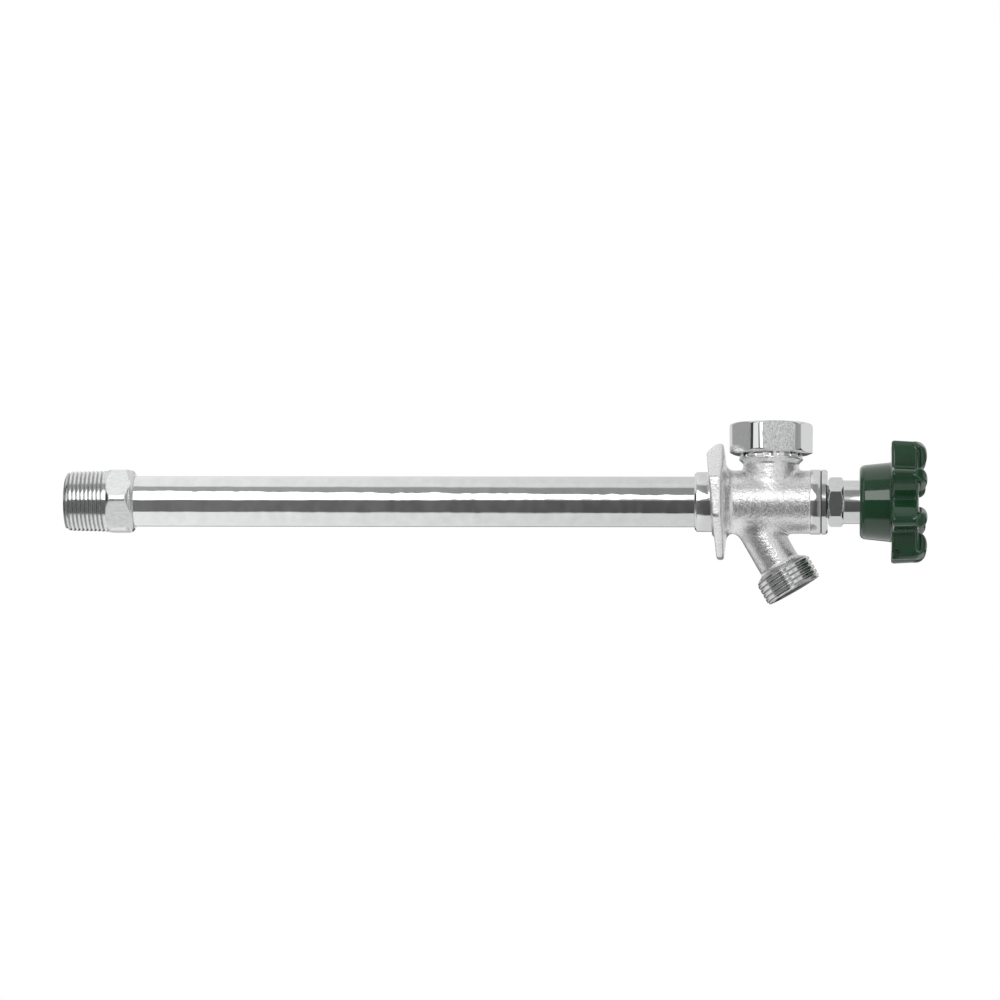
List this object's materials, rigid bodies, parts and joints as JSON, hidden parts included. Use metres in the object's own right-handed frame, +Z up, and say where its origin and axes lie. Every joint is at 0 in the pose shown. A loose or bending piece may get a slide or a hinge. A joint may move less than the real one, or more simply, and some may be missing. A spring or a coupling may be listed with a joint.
{
  "type": "frost free sillcock",
  "caption": "Frost free sillcock: long supply tube with a pipe thread and solder socket inlet, leaned wall flange, angled hose spout, vacuum breaker and lobed handwheel.",
  "frame": {"origin": "on the tube's axis, midway between the wall flange's two screw holes, where the axis passes the wall face", "axes": "+X along the tube out of the wall towards the handwheel, +Z up, so the spout points down and outwards"},
  "size_m": [0.3798, 0.06, 0.0795],
  "materials": {
    "cast_plating": "satin plating over a sandy casting",
    "tube_plating": "bright plating",
    "fitting_plating": "bright plating over turned and forged metal",
    "turned_plating": "bright plating over turned metal",
    "cap_plating": "bright plating, with a rough forged flat",
    "stem_brass": "turned",
    "bare_brass": "turned",
    "screw_steel": "zinc plated",
    "wheel_enamel": "thick glossy dip coat",
    "seal_rubber": "moulded",
    "gasket_fibre": "pressed",
    "packing_graphite": "pressed",
    "guide_plastic": "moulded"
  },
  "bodies": {
    "root": {"faucet_body": "cast_plating", "supply_tube": "tube_plating", "inlet_fitting": "fitting_plating", "bonnet": "turned_plating", "bonnet_gasket": "gasket_fibre", "packing_washer": "bare_brass", "packing": "packing_graphite", "packing_nut": "turned_plating", "breaker_seat": "guide_plastic", "breaker_cap": "cap_plating", "cap_gasket": "gasket_fibre"},
    "washer_carrier": {"washer_holder": "bare_brass", "seat_washer": "seal_rubber", "washer_screw": "bare_brass"},
    "spindle": {"rod": "bare_brass", "rod_guide_rings": "guide_plastic", "stem": "stem_brass", "stem_pin": "screw_steel", "stem_rings": "seal_rubber", "handwheel": "wheel_enamel", "handle_washer": "screw_steel", "handle_screw": "screw_steel"},
    "float": {"breaker_float": "guide_plastic", "float_seal": "seal_rubber"}
  },
  "joints": [
    {"name": "washer_travel", "type": "slide", "parent": "root", "child": "washer_carrier", "axis": [1, 0, 0], "range_m": [0, 0.00477]},
    {"name": "handwheel_turn", "type": "hinge", "parent": "washer_carrier", "child": "spindle", "pos_m": [0, 0, 0], "axis": [1, 0, 0], "range_deg": [0, 540]},
    {"name": "float_lift", "type": "slide", "parent": "root", "child": "float", "axis": [0, 0, 1], "range_m": [0, 0.0016]}
  ],
  "couplings": [
    {"joint": "washer_travel", "follows": "handwheel_turn", "m_per_rad": 0.00050532}
  ]
}
